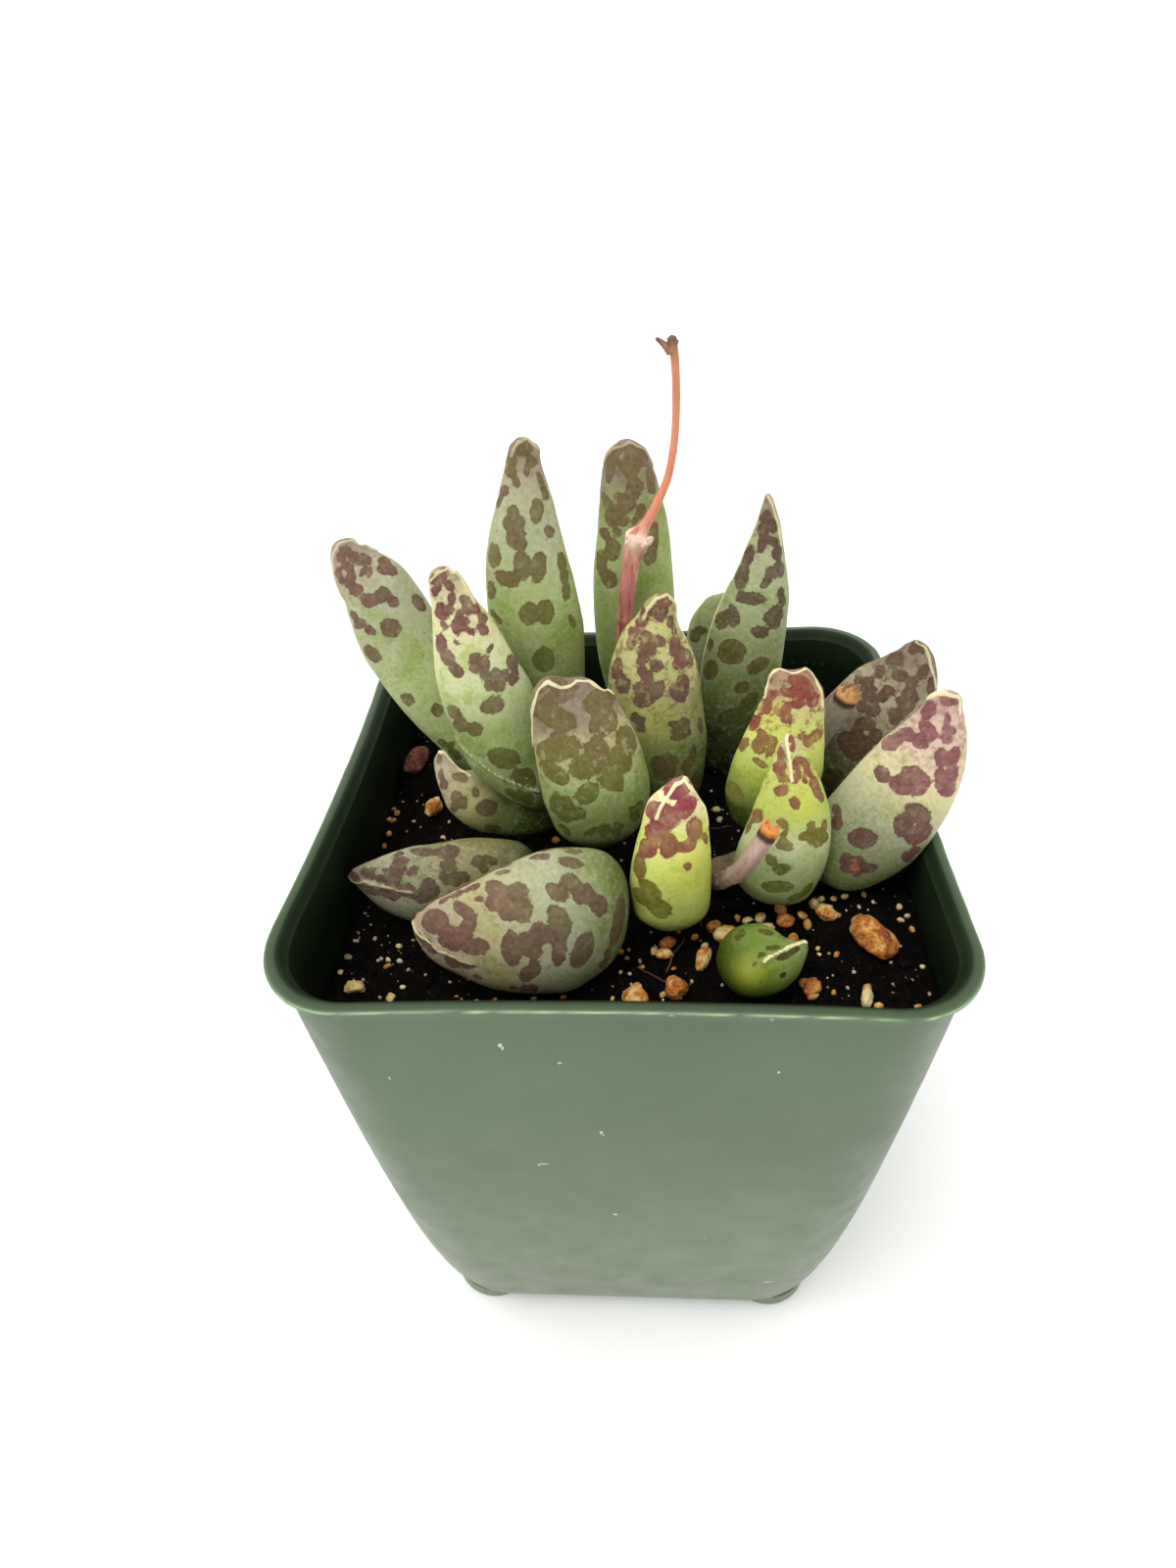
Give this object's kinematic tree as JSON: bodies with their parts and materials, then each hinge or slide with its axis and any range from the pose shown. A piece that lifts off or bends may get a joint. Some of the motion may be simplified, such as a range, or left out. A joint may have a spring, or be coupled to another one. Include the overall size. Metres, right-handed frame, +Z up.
{
  "type": "potted spotted succulent plant",
  "caption": "Small succulent with thick spotted club-shaped leaves and dried flower stalks in gritty dark soil, in a tapered square plastic nursery pot.",
  "frame": {"origin": "Middle of the bottom of the whole part's bounding box, at the height of the undersides of the pot's feet. The pot's own axis is 0.5 mm to the -X side of it, because two leaves lean out over the rim on the +X side.", "axes": "+Z up, along the pot's axis; -Y is the front of the plant, the side that the pictured plant shows; X and Y run along the pot's sides."},
  "size_m": [0.0646, 0.0628, 0.113],
  "materials": {
    "green_plastic": "satin, lightly scuffed",
    "soil": "dark damp potting mix",
    "leaf": "waxy skin with purple and olive spots",
    "stem": "dry, slightly ridged skin",
    "grit": "rough"
  },
  "bodies": {
    "root": {"pot": "green_plastic", "soil": "soil", "leaf_far_left": "leaf", "leaf_left": "leaf", "leaf_tall_left": "leaf", "leaf_tall_middle": "leaf", "leaf_middle": "leaf", "leaf_front_middle": "leaf", "leaf_low_left": "leaf", "leaf_lying_left_back": "leaf", "leaf_lying_left_front": "leaf", "leaf_front_small": "leaf", "leaf_tall_right": "leaf", "leaf_back_right": "leaf", "leaf_right_wavy": "leaf", "leaf_right_front": "leaf", "leaf_leaning_right_back": "leaf", "leaf_leaning_right_front": "leaf", "leaf_bud": "leaf", "main_stem": "stem", "side_stem": "stem", "back_stem": "stem", "old_flower_stalk": "stem", "cut_stalk_back": "stem", "cut_stalk_front": "stem", "stone_big": "grit", "stone_under_leaf": "grit", "stone_front_tan": "grit", "stone_long_pale": "grit", "stone_thin_upright": "grit", "stone_small_yellow": "grit", "stone_front_left": "grit", "stone_front_orange": "grit", "stone_orange_right": "grit", "stone_by_bud": "grit", "stone_edge_pointed": "grit", "stone_back_red": "grit", "stone_left_tan": "grit", "stone_left_corner": "grit", "stone_behind_bud": "grit"}
  },
  "joints": []
}
